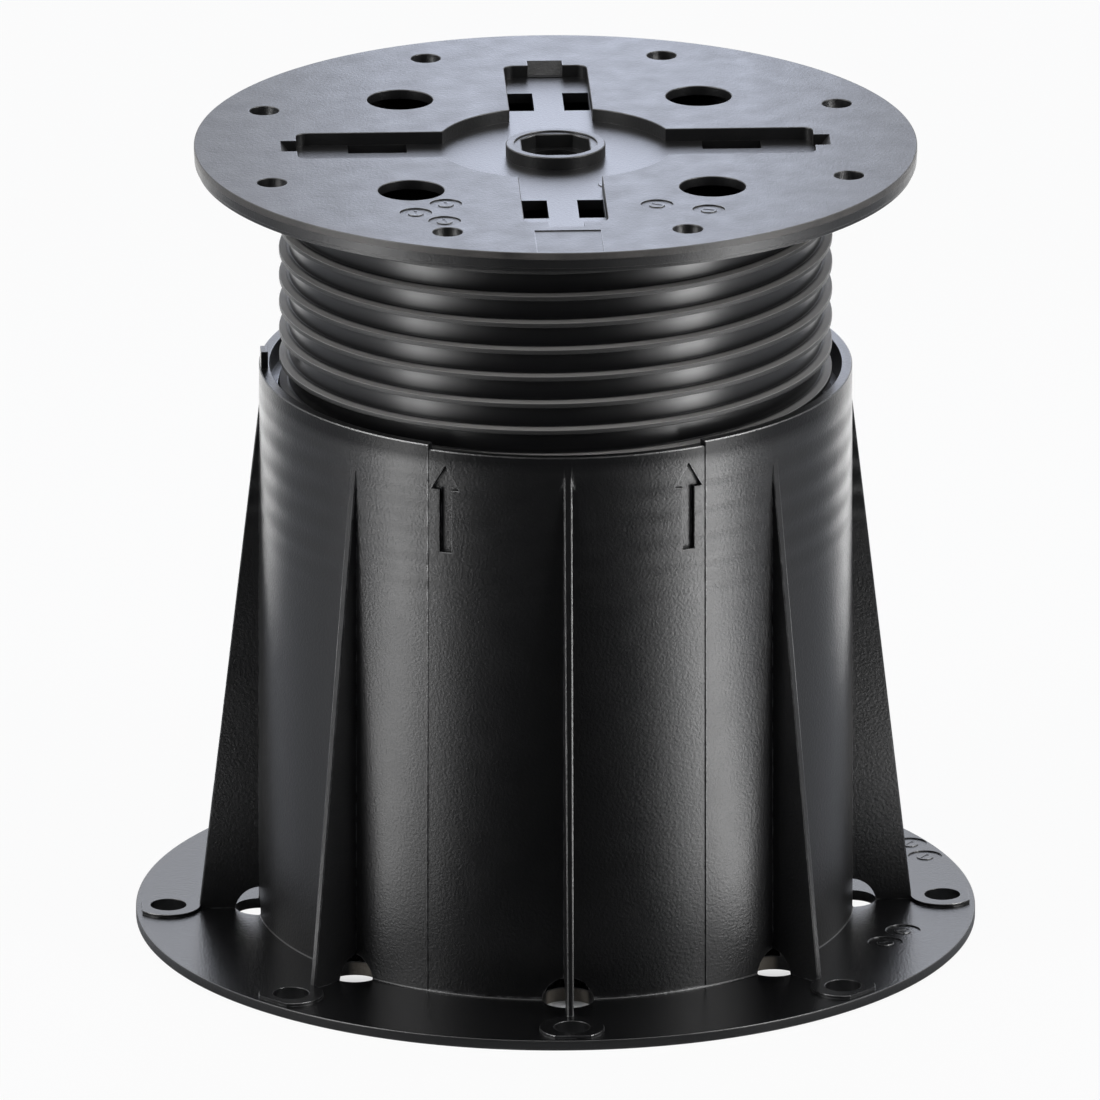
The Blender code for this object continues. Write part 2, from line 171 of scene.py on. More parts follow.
# Backdrop and lamps
# White all round, as in the photograph. Two upright soft boxes stand at the sides and draw the
# long highlights on the collar; one behind lights the flat tops, and high ones edge the rims.
WORLD_FILL = 0.32
FILL_TINT = (0.94, 0.97, 1.0, 1)
SKY_TINT = (0.86, 0.95, 1.20)
world = bpy.data.worlds.new("white_studio")
scene.world = world
world.use_nodes = True
tree = world.node_tree
fill = tree.nodes["Background"]
fill.inputs["Color"].default_value = FILL_TINT
fill.inputs["Strength"].default_value = WORLD_FILL
white = tree.nodes.new("ShaderNodeBackground")
white.inputs["Color"].default_value = (1, 1, 1, 1)
white.inputs["Strength"].default_value = 1.0
rays = tree.nodes.new("ShaderNodeLightPath")
seen = math_node(tree, "MAXIMUM", rays.outputs["Is Camera Ray"], rays.outputs["Is Glossy Ray"])
shown = math_node(tree, "MAXIMUM", seen, rays.outputs["Is Transmission Ray"])
blend = tree.nodes.new("ShaderNodeMixShader")
tree.links.new(shown, blend.inputs[0])
tree.links.new(fill.outputs[0], blend.inputs[1])
tree.links.new(white.outputs[0], blend.inputs[2])
tree.links.new(blend.outputs[0], tree.nodes["World Output"].inputs["Surface"])


def soft_box(name, turn, elevation, distance, width, height, radiance, colour=(1, 1, 1),
             aim=CAMERA_AIM, lights_matt=True):
    """A soft box facing the pedestal; turn is its angle from the camera round the pedestal."""
    lamp = bpy.data.lights.new(name, "AREA")
    lamp.shape = "RECTANGLE"
    lamp.size = width
    lamp.size_y = height
    lamp.energy = 4 * radiance * width * height
    lamp.color = colour
    obj = bpy.data.objects.new(name, lamp)
    heading = CAMERA_HEADING + math.radians(turn)
    obj.location, obj.rotation_euler = seen_from(heading, math.radians(elevation), distance, aim)
    obj.visible_camera = False
    obj.visible_diffuse = lights_matt
    scene.collection.objects.link(obj)


# Each box: its turn and elevation in degrees, then its distance, width, height and radiance.
above_plate = Vector((0, 0, HEAD_HEIGHT))
soft_box("soft_box_left", -59, 12, 1.25, 0.34, 1.20, 4.5)
soft_box("soft_box_right", 59, 12, 1.25, 0.30, 1.20, 5.4)
soft_box("soft_box_behind", 180, 27, 1.8, 2.6, 1.2, 0.50, SKY_TINT)
soft_box("soft_box_near_behind", 179, 20, 0.44, 0.12, 0.26, 1.95, SKY_TINT, above_plate)
soft_box("soft_box_top_left", -86, 53, 1.2, 0.62, 0.34, 12, lights_matt=False)
soft_box("soft_box_top_right", 86, 53, 1.2, 0.62, 0.34, 13, lights_matt=False)
soft_box("soft_box_top_front", 0, 80, 1.2, 0.7, 0.34, 3.5, lights_matt=False)

# Reflected cards
# Cards on the table that only reflections show: a black one in front keeps the middle of the
# collar dark, and lit strips at both sides run its highlights down to the flange.
TURN = 2 * math.pi
CARD_STEPS = 24
BLACK_HALF_ANGLE = 42
STANDING_REACH = 2.2
STANDING_SPAN = (0.001, 4.4)


def sector(turn, half_angle, near, far, height):
    """A flat sector of a ring on the table; turn is its middle, counted from the camera."""
    bm = bmesh.new()
    ends = [bm.verts.new((r, 0, height)) for r in (near, far)]
    edge = bm.edges.new(ends)
    bmesh.ops.spin(bm, geom=ends + [edge], cent=(0, 0, 0), axis=(0, 0, 1), dvec=(0, 0, 0),
                   angle=math.radians(2 * half_angle), steps=CARD_STEPS, use_duplicate=False)
    start = CAMERA_HEADING + math.radians(turn - half_angle)
    bmesh.ops.rotate(bm, verts=bm.verts, cent=(0, 0, 0), matrix=Matrix.Rotation(start, 3, "Z"))
    return bm


def reflected_card(name, bm, near_level, far_level, near, far):
    """A card that only reflections show; its glow changes from near to far of the pedestal."""
    material = bpy.data.materials.new(name)
    material.use_nodes = True
    tree = material.node_tree
    tree.nodes.remove(tree.nodes["Principled BSDF"])
    glow = tree.nodes.new("ShaderNodeEmission")
    place = tree.nodes.new("ShaderNodeTexCoord")
    reach = tree.nodes.new("ShaderNodeVectorMath")
    reach.operation = "LENGTH"
    tree.links.new(place.outputs["Object"], reach.inputs[0])
    level = ramp(tree, reach.outputs["Value"], near, far, near_level, far_level)
    tree.links.new(level, glow.inputs["Strength"])
    tree.links.new(glow.outputs[0], tree.nodes["Material Output"].inputs["Surface"])
    card = new_object(bm, name, material)
    card.visible_camera = False
    card.visible_diffuse = False
    card.visible_shadow = False
    card.visible_transmission = False


reflected_card("black_card_front", sector(0, BLACK_HALF_ANGLE, 0.11, 2.4, 0.0006), 0.0, 0.0, 0.1, 1.0)
reflected_card("lit_strip_left", sector(-58, 8.5, 0.12, 1.1, 0.0010), 4.6, 8.6, 0.2, 0.5)
reflected_card("lit_strip_right", sector(58, 8, 0.12, 1.1, 0.0010), 7.5, 13.0, 0.2, 0.5)
reflected_card("soft_strip_left", sector(-42, 6, 0.12, 0.6, 0.0012), 1.7, 1.2, 0.12, 0.4)
reflected_card("soft_strip_right", sector(43, 6, 0.12, 0.6, 0.0012), 2.8, 1.8, 0.12, 0.4)
reflected_card("lit_table_behind", sector(180, 46, 0.12, 2.4, 0.0008), 3.8, 1.9, 0.2, 0.45)
bm = bmesh.new()
ends = [bm.verts.new((STANDING_REACH, 0, z)) for z in STANDING_SPAN]
edge = bm.edges.new(ends)
bmesh.ops.spin(bm, geom=ends + [edge], cent=(0, 0, 0), axis=(0, 0, 1), dvec=(0, 0, 0),
               angle=math.radians(2 * BLACK_HALF_ANGLE), steps=CARD_STEPS, use_duplicate=False)
bmesh.ops.rotate(bm, verts=bm.verts, cent=(0, 0, 0),
                 matrix=Matrix.Rotation(CAMERA_HEADING - math.radians(BLACK_HALF_ANGLE), 3, "Z"))
reflected_card("black_card_standing", bm, 0.0, 0.0, 0.1, 1.0)

# Black polypropylene
# One satin black plastic for both mouldings. The tool was spark eroded, so flat faces have a
# fine grain; bare edges are scuffed to a sandy grey, and on the collar that pale edge colour is
# also a painted highlight.
PLASTIC = (0.006, 0.006, 0.0065, 1)
SCUFF = (0.10, 0.095, 0.09, 1)
SPECULAR = 0.5
POLISHED_EDGE = 0.16


def spark_grain_group():
    """Fine spark-eroded grain: a height for the bump and a tone for the roughness."""
    group = bpy.data.node_groups.new("spark_grain", "ShaderNodeTree")
    for name, value in (("Size", 1800.0), ("Patch Size", 140.0)):
        socket = group.interface.new_socket(name, in_out="INPUT", socket_type="NodeSocketFloat")
        socket.default_value = value
    for name in ("Height", "Tone"):
        group.interface.new_socket(name, in_out="OUTPUT", socket_type="NodeSocketFloat")
    nodes = group.nodes
    inside = nodes.new("NodeGroupInput")
    out = nodes.new("NodeGroupOutput")
    place = nodes.new("ShaderNodeTexCoord")
    fine = nodes.new("ShaderNodeTexNoise")
    fine.inputs["Detail"].default_value = 3.0
    fine.inputs["Roughness"].default_value = 0.6
    patch = nodes.new("ShaderNodeTexNoise")
    patch.inputs["Detail"].default_value = 4.0
    for noise, size in ((fine, "Size"), (patch, "Patch Size")):
        group.links.new(place.outputs["Object"], noise.inputs["Vector"])
        group.links.new(inside.outputs[size], noise.inputs["Scale"])
    group.links.new(fine.outputs["Fac"], out.inputs["Height"])
    group.links.new(patch.outputs["Fac"], out.inputs["Tone"])
    return group


def edge_wear_and_highlight_group():
    """A mask of the edges, and the same broken up by noise: it marks worn edges, and on the collar a painted
    highlight along them too.
    """
    group = bpy.data.node_groups.new("edge_wear_and_highlight", "ShaderNodeTree")
    for name, value in (("Width", 0.0004), ("EdgeShare", 0.5)):
        socket = group.interface.new_socket(name, in_out="INPUT", socket_type="NodeSocketFloat")
        socket.default_value = value
    for name in ("Mask", "Edge"):
        group.interface.new_socket(name, in_out="OUTPUT", socket_type="NodeSocketFloat")
    nodes = group.nodes
    inside = nodes.new("NodeGroupInput")
    out = nodes.new("NodeGroupOutput")
    place = nodes.new("ShaderNodeTexCoord")
    true_normal = nodes.new("ShaderNodeNewGeometry")
    soft_normal = nodes.new("ShaderNodeBevel")
    soft_normal.samples = 4
    group.links.new(inside.outputs["Width"], soft_normal.inputs["Radius"])
    dot = nodes.new("ShaderNodeVectorMath")
    dot.operation = "DOT_PRODUCT"
    group.links.new(true_normal.outputs["Normal"], dot.inputs[0])
    group.links.new(soft_normal.outputs["Normal"], dot.inputs[1])
    bent = ramp(group, dot.outputs["Value"], 0.99, 0.80)
    noise = nodes.new("ShaderNodeTexNoise")
    noise.inputs["Scale"].default_value = 420.0
    noise.inputs["Detail"].default_value = 4.0
    group.links.new(place.outputs["Object"], noise.inputs["Vector"])
    patchy_mask = math_node(group, "MULTIPLY", bent, ramp(group, noise.outputs["Fac"], 0.38, 0.62))
    scaled = math_node(group, "MULTIPLY", patchy_mask, inside.outputs["EdgeShare"])
    group.links.new(scaled, out.inputs["Mask"])
    group.links.new(bent, out.inputs["Edge"])
    return group


spark_grain = spark_grain_group()
edge_wear_and_highlight = edge_wear_and_highlight_group()


def plastic(name, roughness, grain, edge_share, edge_colour=SCUFF, smudge=0.05, grain_size=1800, polish=0.5):
    """Black plastic with its grain depth in metres, its share of pale edges and its smudges; the pale edges
    are scuffs, and on the collar painted highlights too.
    """
    material, tree, shader = node_material(name)
    nodes = tree.nodes
    grains = nodes.new("ShaderNodeGroup")
    grains.node_tree = spark_grain
    grains.inputs["Size"].default_value = grain_size
    edge_wear_and_light = nodes.new("ShaderNodeGroup")
    edge_wear_and_light.node_tree = edge_wear_and_highlight
    edge_wear_and_light.inputs["EdgeShare"].default_value = edge_share
    colour = nodes.new("ShaderNodeMix")
    colour.data_type = "RGBA"
    colour.inputs[6].default_value = PLASTIC
    colour.inputs[7].default_value = edge_colour
    tree.links.new(edge_wear_and_light.outputs["Mask"], colour.inputs["Factor"])
    tree.links.new(colour.outputs[2], shader.inputs["Base Color"])
    gloss = ramp(tree, grains.outputs["Tone"], 0.0, 1.0, roughness - smudge, roughness + smudge)
    tree.links.new(gloss, shader.inputs["Roughness"])
    shine = math_node(tree, "MULTIPLY", edge_wear_and_light.outputs["Edge"], polish)
    roughness_where(tree, shader, shine, POLISHED_EDGE)
    tree.links.new(ramp(tree, shine, 0.0, 1.0, SPECULAR, 1.0), shader.inputs["Specular IOR Level"])
    bump = nodes.new("ShaderNodeBump")
    bump.inputs["Distance"].default_value = grain
    bump.inputs["Strength"].default_value = 1.0
    tree.links.new(grains.outputs["Height"], bump.inputs["Height"])
    tree.links.new(bump.outputs["Normal"], shader.inputs["Normal"])
    return material, tree, shader


def value_where(tree, socket, mask, value):
    """Give a linked shader socket another value where the mask is high."""
    change = tree.nodes.new("ShaderNodeMix")
    change.inputs["B"].default_value = value
    tree.links.new(mask, change.inputs["Factor"])
    tree.links.new(socket.links[0].from_socket, change.inputs["A"])
    tree.links.new(change.outputs["Result"], socket)


def roughness_where(tree, shader, mask, roughness):
    value_where(tree, shader.inputs["Roughness"], mask, roughness)


def specular_where(tree, shader, mask, level):
    value_where(tree, shader.inputs["Specular IOR Level"], mask, level)


def normal_height(tree):
    """The upward part of the surface normal."""
    facing = tree.nodes.new("ShaderNodeNewGeometry")
    split = tree.nodes.new("ShaderNodeSeparateXYZ")
    tree.links.new(facing.outputs["Normal"], split.inputs[0])
    return split.outputs[2]


def wear_and_light_layer(tree, shader, mask, colour, roughness, depth):
    """Lay a sandy coat over the plastic where the mask is high; it is wear on some faces and painted light
    on others.
    """
    tint = tree.nodes.new("ShaderNodeMix")
    tint.data_type = "RGBA"
    tint.inputs[7].default_value = colour
    tree.links.new(mask, tint.inputs["Factor"])
    tree.links.new(shader.inputs["Base Color"].links[0].from_socket, tint.inputs[6])
    tree.links.new(tint.outputs[2], shader.inputs["Base Color"])
    roughness_where(tree, shader, mask, roughness)
    sand = tree.nodes.new("ShaderNodeTexNoise")
    sand.inputs["Scale"].default_value = 2600.0
    sand.inputs["Detail"].default_value = 2.0
    place = tree.nodes.new("ShaderNodeTexCoord")
    tree.links.new(place.outputs["Object"], sand.inputs["Vector"])
    rough = tree.nodes.new("ShaderNodeBump")
    rough.inputs["Distance"].default_value = depth
    tree.links.new(math_node(tree, "MULTIPLY", sand.outputs["Fac"], mask), rough.inputs["Height"])
    tree.links.new(shader.inputs["Normal"].links[0].from_socket, rough.inputs["Normal"])
    tree.links.new(rough.outputs["Normal"], shader.inputs["Normal"])


# Screw head: top plate
# A thin round plate of black polypropylene with a lip turned down all round, moulded in one
# with the cross-shaped recess, its key notches and slots, and the centre boss.
PLATE_RADIUS = 0.0855
PLATE_THICKNESS = 0.0024
LIP_DEPTH = 0.0049
LIP_WIDTH = 0.0024
LIP_STEP = 0.0006
LIP_STEP_HEIGHT = 0.001
WORN_BAND = 0.00167
WORN_STEP = 0.00012
FACE_ROUND = 0.00028
LIP_ROUND = 0.0002
CENTRE_RADIUS = 0.003
RIM_WEAR = (0.046, 0.042, 0.039, 1)
PITCH = 0.0066
CREST_RADIUS = 0.0655
THREAD_DEPTH = 0.0024
BARREL_WALL = 0.0025
ROOT_RING_DEPTH = 0.002
PLATE_STEPS = 256
CUT_PAST = 0.002
plate_underside = HEAD_HEIGHT - PLATE_THICKNESS
quarter = math.pi / 2


def arc(radius, centre, start, end, steps):
    """Points along an arc, ends included."""
    angles = [start + (end - start) * step / steps for step in range(steps + 1)]
    return [(centre[0] + radius * math.cos(a), centre[1] + radius * math.sin(a)) for a in angles]


def spun(profile, steps=PLATE_STEPS, start=0.0, sweep=TURN, rise=0.0):
    """Turn a closed (radius, height) outline about Z; a rise makes it climb as a coil."""
    bm = bmesh.new()
    verts = [bm.verts.new((r * math.cos(start), r * math.sin(start), z)) for r, z in profile]
    edges = [bm.edges.new(pair) for pair in zip(verts, verts[1:] + verts[:1])]
    closed = rise == 0.0 and sweep == TURN
    bmesh.ops.spin(bm, geom=verts + edges, cent=(0, 0, 0), axis=(0, 0, 1),
                   dvec=(0, 0, rise / steps), angle=sweep, steps=steps,
                   use_merge=closed, use_duplicate=False)
    if not closed:
        open_edges = [edge for edge in bm.edges if edge.is_boundary]
        bmesh.ops.holes_fill(bm, edges=open_edges, sides=0)
    return bm


def rounded(bm, width):
    """Round the sharp edges of a clean shape with a bevel."""
    bmesh.ops.remove_doubles(bm, verts=bm.verts, dist=1e-7)
    bmesh.ops.recalc_face_normals(bm, faces=bm.faces)
    sharp = [edge for edge in bm.edges if len(edge.link_faces) == 2
             and edge.calc_face_angle() > math.radians(30)]
    bmesh.ops.bevel(bm, geom=sharp, offset=width, offset_type="OFFSET", segments=3,
                    profile=0.5, affect="EDGES", material=-1, clamp_overlap=True)
    return bm


def skinned(outlines):
    """A closed solid through outlines of 3-D points, one after another."""
    bm = bmesh.new()
    loops = []
    for outline in outlines:
        verts = [bm.verts.new(point) for point in outline]
        loops.append([bm.edges.new(pair) for pair in zip(verts, verts[1:] + verts[:1])])
    for lower, upper in zip(loops, loops[1:]):
        bmesh.ops.bridge_loops(bm, edges=lower + upper)
    for loop in (loops[0], loops[-1]):
        bmesh.ops.holes_fill(bm, edges=loop, sides=0)
    return bm


def lofted(outline, levels):
    """A closed solid through the outline grown by each level's margin at its height."""
    return skinned([[(x, y, height) for x, y in outline(margin)] for margin, height in levels])


def turned(bm, angle):
    """Turn a shape about Z."""
    bmesh.ops.rotate(bm, verts=bm.verts, cent=(0, 0, 0), matrix=Matrix.Rotation(angle, 3, "Z"))
    return bm


def moved(bm, x, y, z=0.0):
    """Move a shape."""
    bmesh.ops.translate(bm, verts=bm.verts, vec=(x, y, z))
    return bm


def repeated(bm, count, first_angle=0.0):
    """Repeat a shape evenly round Z, the first copy at the given angle."""
    source = bm.verts[:] + bm.edges[:] + bm.faces[:]
    for index in range(1, count):
        copy = bmesh.ops.duplicate(bm, geom=source)["geom"]
        verts = [item for item in copy if isinstance(item, bmesh.types.BMVert)]
        step = Matrix.Rotation(TURN * index / count, 3, "Z")
        bmesh.ops.rotate(bm, verts=verts, cent=(0, 0, 0), matrix=step)
    return turned(bm, first_angle)


def combine(target, operation, *shapes):
    """Join shapes to the target, or cut them away, and keep the result as its mesh."""
    group = bpy.data.collections.new("tools")
    scene.collection.children.link(group)
    for shape in shapes:
        tool = new_object(shape, "tool")
        scene.collection.objects.unlink(tool)
        group.objects.link(tool)
    modifier = target.modifiers.new(operation.lower(), "BOOLEAN")
    modifier.operation = operation
    modifier.solver = "EXACT"
    modifier.operand_type = "COLLECTION"
    modifier.collection = group
    modifier.material_mode = "INDEX"
    view = bpy.context.evaluated_depsgraph_get()
    mesh = bpy.data.meshes.new_from_object(target.evaluated_get(view))
    target.modifiers.clear()
    target.data = mesh
    for tool in list(group.objects):
        bpy.data.objects.remove(tool)
    bpy.data.collections.remove(group)


def finished(obj, body, node):
    """Smooth the shading between sharp edges and hand the piece to its body."""
    obj.data.shade_smooth()
    obj.data.set_sharp_from_angle(angle=math.radians(33))
    weighted = obj.modifiers.new("even_shading", "WEIGHTED_NORMAL")
    weighted.keep_sharp = True
    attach(obj, body)
    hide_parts(node)


top = HEAD_HEIGHT
rim = PLATE_RADIUS
lip_bottom = top - LIP_DEPTH
step_height = lip_bottom + LIP_STEP_HEIGHT
worn_bottom = top - WORN_BAND
root_radius = CREST_RADIUS - THREAD_DEPTH
bore_radius = root_radius - BARREL_WALL
barrel_top = plate_underside - ROOT_RING_DEPTH
plate_outline = [(CENTRE_RADIUS, top)]
plate_outline += arc(FACE_ROUND, (rim - FACE_ROUND, top - FACE_ROUND), quarter, 0, 4)
plate_outline += [(rim, worn_bottom), (rim - WORN_STEP, worn_bottom - WORN_STEP)]
plate_outline += arc(LIP_ROUND, (rim - WORN_STEP - LIP_ROUND, step_height + LIP_ROUND), 0, -quarter, 3)
plate_outline += [(rim - LIP_STEP, step_height)]
plate_outline += arc(LIP_ROUND, (rim - LIP_STEP - LIP_ROUND, lip_bottom + LIP_ROUND), 0, -quarter, 3)
plate_outline += [(rim - LIP_WIDTH, lip_bottom), (rim - LIP_WIDTH, plate_underside),
                  (root_radius, plate_underside), (root_radius, barrel_top), (bore_radius, barrel_top),
                  (bore_radius, plate_underside), (CENTRE_RADIUS, plate_underside)]
plate_plastic, tree, shader = plastic("plate_plastic", 0.40, 0.00007, 0.3, smudge=0.08, grain_size=1500)
x, y, z, reach = place_parts(tree)
sunk_floor = math_node(tree, "MULTIPLY", ramp(tree, z, top - 0.0020, top - 0.0026),
                       ramp(tree, normal_height(tree), 0.9, 0.99))
roughness_where(tree, shader, sunk_floor, 0.33)
band = math_node(tree, "MULTIPLY", ramp(tree, z, worn_bottom - 0.0001, worn_bottom + 0.0001),
                 ramp(tree, reach, rim - 0.0004, rim - 0.00015))
rubbed = tree.nodes.new("ShaderNodeTexNoise")
rubbed.inputs["Scale"].default_value = 160.0
rubbed.inputs["Detail"].default_value = 5.0
place = tree.nodes.new("ShaderNodeTexCoord")
tree.links.new(place.outputs["Object"], rubbed.inputs["Vector"])
patchy_mask = math_node(tree, "MULTIPLY", band, ramp(tree, rubbed.outputs["Fac"], 0.3, 0.65, 0.35, 1.0))
wear_and_light_layer(tree, shader, patchy_mask, RIM_WEAR, 0.5, 0.00002)
plate = new_object(spun(plate_outline), "top_plate", plate_plastic)

# Recess in the top plate
# A hub with four arms, sunk below the face for the spanner; each arm ends in a sloped key
# notch, and two slots beside each arm's middle open through the floor.
RECESS_DEPTH = 0.0031
RECESS_FLOOR = 0.0024
RECESS_HUB_RADIUS = 0.0282
ARM_COUNT = 4
ARM_WIDTH = 0.0197
ARM_REACH = 0.0612
ARM_CORNER_RADIUS = 0.0024
NOTCH_WIDTH = 0.0083
NOTCH_REACH = 0.065
NOTCH_DEPTH = 0.0029
NOTCH_SLOPE_RUN = 0.0022
SLOT_WIDTH = 0.0062
SLOT_LENGTH = 0.0139
SLOT_NEAR_RADIUS = 0.035
SLOT_SIDE_GAP = 0.0001
MOUTH_ROUND = 0.00025
TRAY_EDGE = 0.0003
recess_floor_top = top - RECESS_DEPTH
recess_floor_bottom = recess_floor_top - RECESS_FLOOR


def cross_outline(margin):
    """Plan of the recess, all grown outwards by a margin."""
    radius = RECESS_HUB_RADIUS + margin
    half = ARM_WIDTH / 2 + margin
    reach = ARM_REACH + margin
    corner = ARM_CORNER_RADIUS + margin
    mouth = math.asin(half / radius)
    points = []
    for index in range(ARM_COUNT):
        arm = [(radius * math.cos(mouth), -half)]
        arm += arc(corner, (reach - corner, corner - half), -quarter, 0, 10)
        arm += arc(corner, (reach - corner, half - corner), 0, quarter, 10)
        arm += arc(radius, (0, 0), mouth, quarter - mouth, 14)[:-1]
        turn = Matrix.Rotation(TURN * index / ARM_COUNT, 2)
        points += [turn @ Vector(point) for point in arm]
    return points


def mouth_levels(floor_z, face_z, radius=MOUTH_ROUND):
    """Levels of a cutter with a sharp floor edge and a rounded mouth at the face."""
    levels = [(0, floor_z)]
    levels += [(radius - radius * math.cos(a), face_z - radius + radius * math.sin(a))
               for a in (0, quarter / 3, 2 * quarter / 3, 0.93 * quarter)]
    last = levels[-1][0]
    return levels + [(last + 0.00004, face_z + 0.00001), (last + 0.00004, face_z + CUT_PAST)]


def notch_wedge(margin, upper):
    """The key notch past an arm's end along +X; its floor slopes up to the plate's face."""
    half = NOTCH_WIDTH / 2 + margin
    low = top - NOTCH_DEPTH - margin
    slope = NOTCH_SLOPE_RUN / NOTCH_DEPTH
    foot = NOTCH_REACH - NOTCH_SLOPE_RUN + margin / 2
    head = foot + slope * (upper - low)
    start = ARM_REACH - ARM_CORNER_RADIUS
    bm = bmesh.new()
    face = bm.faces.new([bm.verts.new((x, -half, z)) for x, z in
                         ((start, low), (foot, low), (head, upper), (start, upper))])
    raised = bmesh.ops.extrude_face_region(bm, geom=[face], use_keep_orig=True)["geom"]
    side = [item for item in raised if isinstance(item, bmesh.types.BMVert)]
    bmesh.ops.translate(bm, verts=side, vec=(0, 2 * half, 0))
    return bm


embedded = plate_underside + 0.0008
tray = lofted(cross_outline, [(RECESS_FLOOR - TRAY_EDGE, recess_floor_bottom),
                              (RECESS_FLOOR, recess_floor_bottom + TRAY_EDGE), (RECESS_FLOOR, embedded)])
trays = repeated(notch_wedge(RECESS_FLOOR / 2, plate_underside + 0.0004), ARM_COUNT)
combine(plate, "UNION", tray, trays)
pocket = lofted(cross_outline, mouth_levels(recess_floor_top, top))
combine(plate, "DIFFERENCE", pocket, repeated(notch_wedge(0.0, top + 2 * CUT_PAST), ARM_COUNT))

# Centre boss
# A thick round boss, its top level with the plate, with a sunken eight-sided key socket and a
# bore through it for the locking key.
HUB_BOSS_RADIUS = 0.0118
HUB_STEP_RADIUS = 0.0098
HUB_STEP_DEPTH = 0.0004
SOCKET_HALF = 0.008
SOCKET_CORNER_CUT = 0.0036
SOCKET_DEPTH = 0.0038
BORE_RADIUS = 0.0065
BOSS_ROUND = 0.00035


def disc(radius, steps=96):
    """Outline function of a round shape of this radius."""
    return lambda margin: arc(radius + margin, (0, 0), 0, TURN * (steps - 1) / steps, steps - 1)


def octagon(margin):
    """The key socket's eight sides, grown by a margin."""
    flat = SOCKET_HALF + margin
    cut = SOCKET_HALF - SOCKET_CORNER_CUT + margin * math.tan(math.pi / 8)
    return [(flat, cut), (cut, flat), (-cut, flat), (-flat, cut),
            (-flat, -cut), (-cut, -flat), (cut, -flat), (flat, -cut)]


boss_levels = [(0, recess_floor_top - 0.0008)]
boss_levels += [(-BOSS_ROUND + BOSS_ROUND * math.cos(a), top - BOSS_ROUND + BOSS_ROUND * math.sin(a))
                for a in (0, quarter / 4, quarter / 2, 3 * quarter / 4, quarter)]
combine(plate, "UNION", lofted(disc(HUB_BOSS_RADIUS), boss_levels))
step = lofted(disc(HUB_STEP_RADIUS), mouth_levels(top - HUB_STEP_DEPTH, top, 0.0002))
socket = lofted(octagon, mouth_levels(top - SOCKET_DEPTH, top - HUB_STEP_DEPTH, 0.0004))
bore = lofted(disc(BORE_RADIUS), [(0, recess_floor_bottom - CUT_PAST), (0, top - SOCKET_DEPTH + 0.0004)])
for cutter in (step, socket, bore):
    combine(plate, "DIFFERENCE", cutter)

# Holes and slots of the plate
# Four large and eight small round holes for screws and drainage, with softly rounded mouths,
# and the square slots beside the arms, moulded through.
LARGE_HOLE_RADIUS = 0.0078
LARGE_HOLE_CIRCLE = 0.0502
SMALL_HOLE_RADIUS = 0.0035
SMALL_HOLE_CIRCLE = 0.0736


def hole_levels(bottom, face, radius):
    """Levels of a through hole with rounded mouths at both faces."""
    steps = (0, quarter / 3, 2 * quarter / 3, 0.93 * quarter)
    under = [(radius - radius * math.cos(a), bottom + radius - radius * math.sin(a))
             for a in reversed(steps)]
    over = [(radius - radius * math.cos(a), face - radius + radius * math.sin(a)) for a in steps]
    return [(under[0][0], bottom - CUT_PAST)] + under + over + [(over[-1][0], face + CUT_PAST)]


plate_levels = hole_levels(plate_underside, top, MOUTH_ROUND)
large = moved(lofted(disc(LARGE_HOLE_RADIUS, 72), plate_levels), LARGE_HOLE_CIRCLE, 0)
small = moved(lofted(disc(SMALL_HOLE_RADIUS, 40), plate_levels), SMALL_HOLE_CIRCLE, 0)
slots = []
outer = ARM_WIDTH / 2 - SLOT_SIDE_GAP
for side in (1, -1):
    bm = bmesh.new()
    bmesh.ops.create_cube(bm, size=1.0)
    bmesh.ops.scale(bm, verts=bm.verts, vec=(SLOT_LENGTH, SLOT_WIDTH, 0.008))
    along = SLOT_NEAR_RADIUS + SLOT_LENGTH / 2
    moved(bm, along, side * (outer - SLOT_WIDTH / 2), recess_floor_top - CUT_PAST)
    slots.append(repeated(bm, ARM_COUNT))
combine(plate, "DIFFERENCE", *slots)
combine(plate, "DIFFERENCE", repeated(large, 4, TURN / 8), repeated(small, 8, TURN / 16))

# Moulding marks of the plate
# Blank inserts of the mould leave small round sunken marks, each with a plain pointer in it,
# and the gate leaves a low disc on the recess floor; a bare shallow panel lies at the front.
PLATE_MARKS = ((0.0540, -30.9), (0.0635, -33.5), (0.0660, -25.6), (0.0534, 24.1), (0.0630, 32.4))
PLATE_MARK_RADIUS = 0.0038
MARK_DEPTH = 0.0003
MARK_EDGE = 0.0001
MARK_TURN = math.radians(37)
POINTER_DROP = 0.00008
GATE_RADIUS = 0.0036
GATE_PLACE = (0.0262, 28.9)
PLATE_PANEL = (0.0156, 0.0169)
PLATE_PANEL_MIDDLE = -0.07615
PLATE_PANEL_DEPTH = 0.00025
FRONT = -math.pi / 2


def at_mark(bm, reach, angle):
    """Move a shape out along the front and turn it to its angle from there."""
    return turned(moved(turned(bm, MARK_TURN), reach, 0), FRONT + math.radians(angle))


def insert_marks(target, places, radius, face):
    """Sink round insert marks in a face and raise the plain pointer in each."""
    sunk = [at_mark(lofted(disc(radius, 48), mouth_levels(face - MARK_DEPTH, face, MARK_EDGE)), r, a)
            for r, a in places]
    combine(target, "DIFFERENCE", *sunk)
    raised = []
    for r, a in places:
        upper = face - POINTER_DROP
        knob = [(0, face - 2 * MARK_DEPTH), (0, upper - MARK_EDGE), (-MARK_EDGE, upper)]
        raised.append(at_mark(lofted(disc(radius * 0.5, 32), knob), r, a))
    combine(target, "UNION", *raised)
    slots = []
    for r, a in places:
        bar = bmesh.new()
        bmesh.ops.create_cube(bar, size=1.0)
        bmesh.ops.scale(bar, verts=bar.verts, vec=(radius * 0.72, radius * 0.2, 0.0008))
        slots.append(at_mark(moved(bar, 0, 0, face + 0.0002), r, a))
    combine(target, "DIFFERENCE", *slots)


